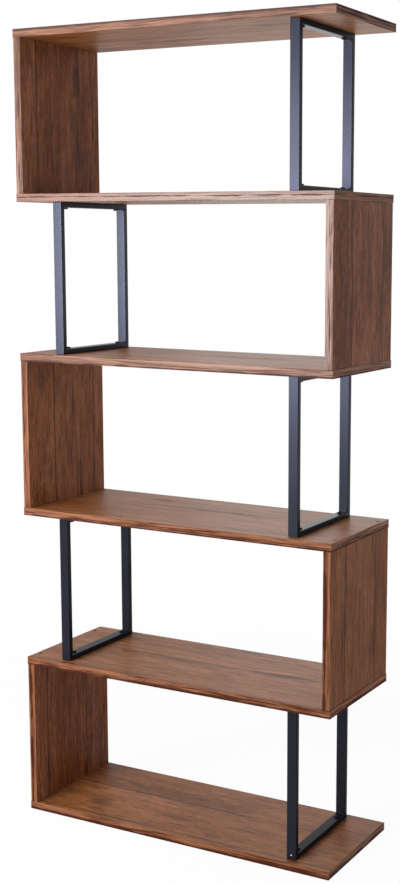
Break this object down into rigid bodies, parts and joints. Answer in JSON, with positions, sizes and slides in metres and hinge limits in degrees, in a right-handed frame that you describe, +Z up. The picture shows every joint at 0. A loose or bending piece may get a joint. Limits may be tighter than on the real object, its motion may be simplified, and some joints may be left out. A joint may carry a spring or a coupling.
{
  "type": "bookcase",
  "caption": "Tall open bookcase whose shelves zigzag between side panels on alternate sides, with a tube frame under each open end.",
  "frame": {"origin": "centre of the bottom shelf's underside, on the floor", "axes": "+Z up, +X to the right along the shelves, +Y to the back"},
  "size_m": [0.8, 0.29, 1.815],
  "materials": {
    "walnut_board": "laminated particle board with a satin walnut grain, the grain along each board's length",
    "black_tube": "fine satin powder coat",
    "black_screw": "black zinc plating, semi-gloss"
  },
  "bodies": {
    "root": {"shelf_1": "walnut_board", "shelf_2": "walnut_board", "shelf_3": "walnut_board", "shelf_4": "walnut_board", "shelf_5": "walnut_board", "shelf_6": "walnut_board", "side_panel_1": "walnut_board", "side_panel_2": "walnut_board", "side_panel_3": "walnut_board", "side_panel_4": "walnut_board", "side_panel_5": "walnut_board", "support_frame_1": "black_tube", "support_frame_2": "black_tube", "support_frame_3": "black_tube", "support_frame_4": "black_tube", "support_frame_5": "black_tube", "panel_screw_1_lower_front": "black_screw", "panel_screw_1_lower_rear": "black_screw", "panel_screw_1_upper_front": "black_screw", "panel_screw_1_upper_rear": "black_screw", "panel_screw_2_lower_front": "black_screw", "panel_screw_2_lower_rear": "black_screw", "panel_screw_2_upper_front": "black_screw", "panel_screw_2_upper_rear": "black_screw", "panel_screw_3_lower_front": "black_screw", "panel_screw_3_lower_rear": "black_screw", "panel_screw_3_upper_front": "black_screw", "panel_screw_3_upper_rear": "black_screw", "panel_screw_4_lower_front": "black_screw", "panel_screw_4_lower_rear": "black_screw", "panel_screw_4_upper_front": "black_screw", "panel_screw_4_upper_rear": "black_screw", "panel_screw_5_lower_front": "black_screw", "panel_screw_5_lower_rear": "black_screw", "panel_screw_5_upper_front": "black_screw", "panel_screw_5_upper_rear": "black_screw", "frame_screw_1_lower_front": "black_screw", "frame_screw_1_lower_rear": "black_screw", "frame_screw_1_upper_front": "black_screw", "frame_screw_1_upper_rear": "black_screw", "frame_screw_2_lower_front": "black_screw", "frame_screw_2_lower_rear": "black_screw", "frame_screw_2_upper_front": "black_screw", "frame_screw_2_upper_rear": "black_screw", "frame_screw_3_lower_front": "black_screw", "frame_screw_3_lower_rear": "black_screw", "frame_screw_3_upper_front": "black_screw", "frame_screw_3_upper_rear": "black_screw", "frame_screw_4_lower_front": "black_screw", "frame_screw_4_lower_rear": "black_screw", "frame_screw_4_upper_front": "black_screw", "frame_screw_4_upper_rear": "black_screw", "frame_screw_5_lower_front": "black_screw", "frame_screw_5_lower_rear": "black_screw", "frame_screw_5_upper_front": "black_screw", "frame_screw_5_upper_rear": "black_screw"}
  },
  "joints": []
}
